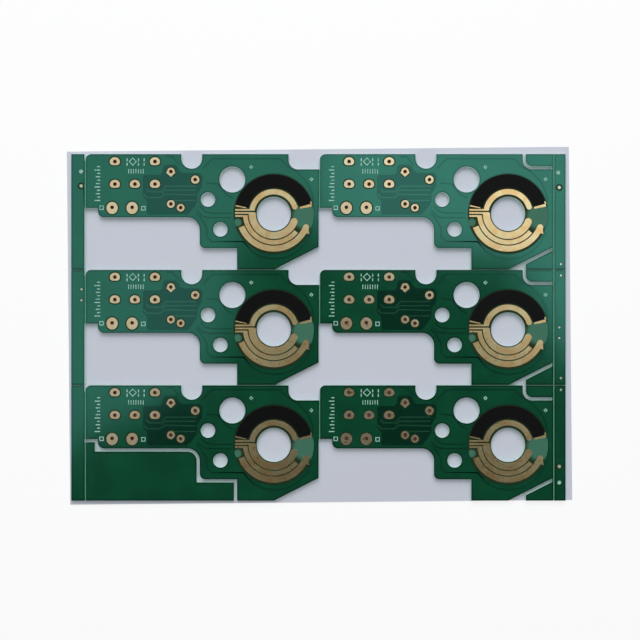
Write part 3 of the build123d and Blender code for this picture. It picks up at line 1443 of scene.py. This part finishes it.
@dataclass(frozen=True)
class ReflectionCard:
    """A board hung over the panel that only gloss mirrors, as a studio's flags and fills are.

    Attributes:
        name: Name of the card.
        outline: Where its image lies on the panel, from straight above, in millimetres.
        height: Height over the panel in millimetres.
        level: Radiance, where 1 looks white.
        thickness: Thickness of the card in millimetres.
    """

    name: str
    outline: tuple[Point, ...]
    height: float
    level: float
    thickness: float = 1.0

    def build(self, centre: Point, distance: float) -> None:
        """Hang the card, with the point under the camera and the camera's height given."""
        material = bpy.data.materials.new(f"{self.name}_light")
        tree = empty_tree(material)
        glow = add_node(tree, "ShaderNodeEmission", Strength=self.level)
        add_node(tree, "ShaderNodeOutputMaterial", Surface=glow)
        scale = (distance + self.height) / distance
        loop = [tuple(c + (v - c) * scale for v, c in zip(p, centre)) for p in self.outline]
        top = self.height + self.thickness
        card = film(self.name, [as_sheet(loop)], self.height, top, material)
        for kind in ("camera", "diffuse", "transmission", "shadow", "volume_scatter"):
            setattr(card, f"visible_{kind}", False)


@dataclass
class Studio:
    """Paper, floor, light and camera.

    Attributes:
        pixel: Size of one pixel of the photograph on the panel, in millimetres.
        pixels: Width and height of the photograph.
        centre: Panel point that the photograph's middle shows.
        distance: Height of the camera over the panel.
        card_turn: How far the paper lies askew, in degrees.
        floor_lift: Share of plain white in the floor that the camera sees.
    """

    layout: PanelLayout
    pixel: float = 0.2545
    pixels: int = 640
    centre: Point = (0.4, 1.88)
    distance: float = 320.0
    sensor: float = 36.0
    card_size: Point = (128.4, 90.3)
    card_centre: Point = (0.28, 0.41)
    card_turn: float = 0.55
    card_top: float = -0.003
    card_thickness: float = 0.2
    floor_size: float = 4000.0
    floor_gap: float = 0.01
    floor_thickness: float = 1.0
    floor_lift: float = 0.75
    card: PlainPaper = PlainPaper("Pale_grey_paper", "#c9ccd6")
    floor: PlainPaper = PlainPaper("White_floor", "#fcfcfc", grit=(2.0, 4.0))
    lamps: tuple[SoftLamp, ...] = (
        SoftLamp("window", (0.0, 0.5, 0.5), (0.5, 0.35), 2.6, "#f2f6ff"),
        SoftLamp("softbox", (0.0, 0.36, 0.75), (0.6, 0.4), 3.5, "#ffffff"),
    )
    cards: tuple[ReflectionCard, ...] = (
        ReflectionCard(
            "dark_card",
            (
                (-260.0, -225.0), (-90.0, -50.0), (-62.0, -29.0), (-46.0, -22.0), (-30.0, -12.0),
                (-22.0, 1.0), (-23.0, 16.0), (-15.0, 30.0), (-4.0, 33.0), (2.0, 23.0),
                (15.0, 21.0), (50.0, 18.0), (57.0, 4.0), (61.0, -6.0), (76.0, -14.0),
                (140.0, -70.0), (220.0, -225.0),
            ),
            330.0,
            0.03,
        ),
        ReflectionCard(
            "grey_card", ((-400.0, -60.0), (1.0, -60.0), (1.0, 400.0), (-400.0, 400.0)), 345.0, 0.6
        ),
    )
    ambient: str = "#fdfdff"
    ambient_level: float = 0.43

    def corners(self, size: Point) -> Loop:
        """Corners of a rectangle round the origin."""
        x, y = size[0] / 2, size[1] / 2
        return [(-x, -y), (x, -y), (x, y), (-x, y)]

    def slab(
        self, name: str, corners: Loop, top: float, thickness: float, paper: PlainPaper
    ) -> Material:
        """Lay one flat sheet, which isn't part of the object, and give back its material."""
        material = paper.make(self.layout)
        film(name, [corners], top - thickness, top, material)
        return material

    def build_stage(self) -> None:
        """Lay the paper under the panel, and the floor under that."""
        turn = math.radians(self.card_turn)
        cos, sin = math.cos(turn), math.sin(turn)
        turned = [(x * cos - y * sin, x * sin + y * cos) for x, y in self.corners(self.card_size)]
        card = moved(turned, self.card_centre)
        self.slab("paper_card", card, self.card_top, self.card_thickness, self.card)
        top = -self.card_thickness - self.floor_gap
        square = self.corners((self.floor_size, self.floor_size))
        self.lift_floor(self.slab("floor", square, top, self.floor_thickness, self.floor).node_tree)

    def lift_floor(self, tree: NodeTree) -> None:
        """Bring the floor that the camera sees close to white, and keep a part of its shadows."""
        output = next(n for n in tree.nodes if n.type == "OUTPUT_MATERIAL")
        lit = output.inputs["Surface"].links[0].from_socket
        seen = add_node(tree, "ShaderNodeLightPath").outputs["Is Camera Ray"]
        share = add_node(tree, "ShaderNodeMath", "MULTIPLY", seen, self.floor_lift)
        white = add_node(tree, "ShaderNodeEmission", Strength=1.0)
        mixed = add_node(tree, "ShaderNodeMixShader", None, share, lit, white)
        tree.links.new(mixed.outputs["Shader"], output.inputs["Surface"])

    def build_light(self) -> None:
        """Hang the lamps and the cards, and fill the room with an even light."""
        for lamp in self.lamps:
            lamp.build()
        for card in self.cards:
            card.build(self.centre, self.distance)
        world = bpy.data.worlds.new("Room")
        bpy.context.scene.world = world
        tree = empty_tree(world)
        even, level = linear(self.ambient), self.ambient_level
        room = add_node(tree, "ShaderNodeBackground", Color=even, Strength=level)
        white = add_node(tree, "ShaderNodeBackground", Color=linear("#ffffff"), Strength=1.0)
        rays = add_node(tree, "ShaderNodeLightPath").outputs
        seen = rays["Is Camera Ray"]
        for kind in ("Is Glossy Ray", "Is Transmission Ray"):
            seen = add_node(tree, "ShaderNodeMath", "MAXIMUM", seen, rays[kind])
        shown = add_node(tree, "ShaderNodeMixShader", None, seen, room, white)
        add_node(tree, "ShaderNodeOutputWorld", Surface=shown)
        bpy.context.scene.view_settings.view_transform = "Standard"

    def build_camera(self) -> None:
        """Hang the camera straight over the panel, as in the photograph."""
        camera = bpy.data.cameras.new("photo_camera")
        camera.sensor_width = self.sensor
        camera.lens = self.sensor * self.distance / (self.pixel * self.pixels)
        camera.clip_start = 0.01
        hung = link_object("photo_camera", camera)
        height = self.layout.top + self.distance
        hung.location = (self.centre[0] * MM, self.centre[1] * MM, height * MM)
        bpy.context.scene.camera = hung


def main() -> None:
    """Dress the panel, piece by piece."""
    logging.basicConfig(level=logging.INFO, format="%(name)s: %(message)s")
    layout = PanelLayout()
    finishes = Finishes.make(layout)
    laminate = frame["nodes"]["laminate_panel"]
    laminate.data.materials.clear()
    laminate.data.materials.append(finishes.laminate)
    LOG.info("laminate_panel: %d faces", len(laminate.data.polygons))
    repeat = BoardRepeat(layout)
    lands, contacts, marks = PlatedLands(layout), ContactPattern(layout), RailMarks(layout)
    lands.build(repeat, finishes)
    contacts.build(repeat, finishes)
    marks.build(finishes)
    MaskFilms(layout, lands, contacts, marks).build(finishes)
    Legend(layout).build(repeat, finishes)
    studio = Studio(layout)
    studio.build_stage()
    studio.build_light()
    studio.build_camera()


if __name__ == "__main__":
    main()
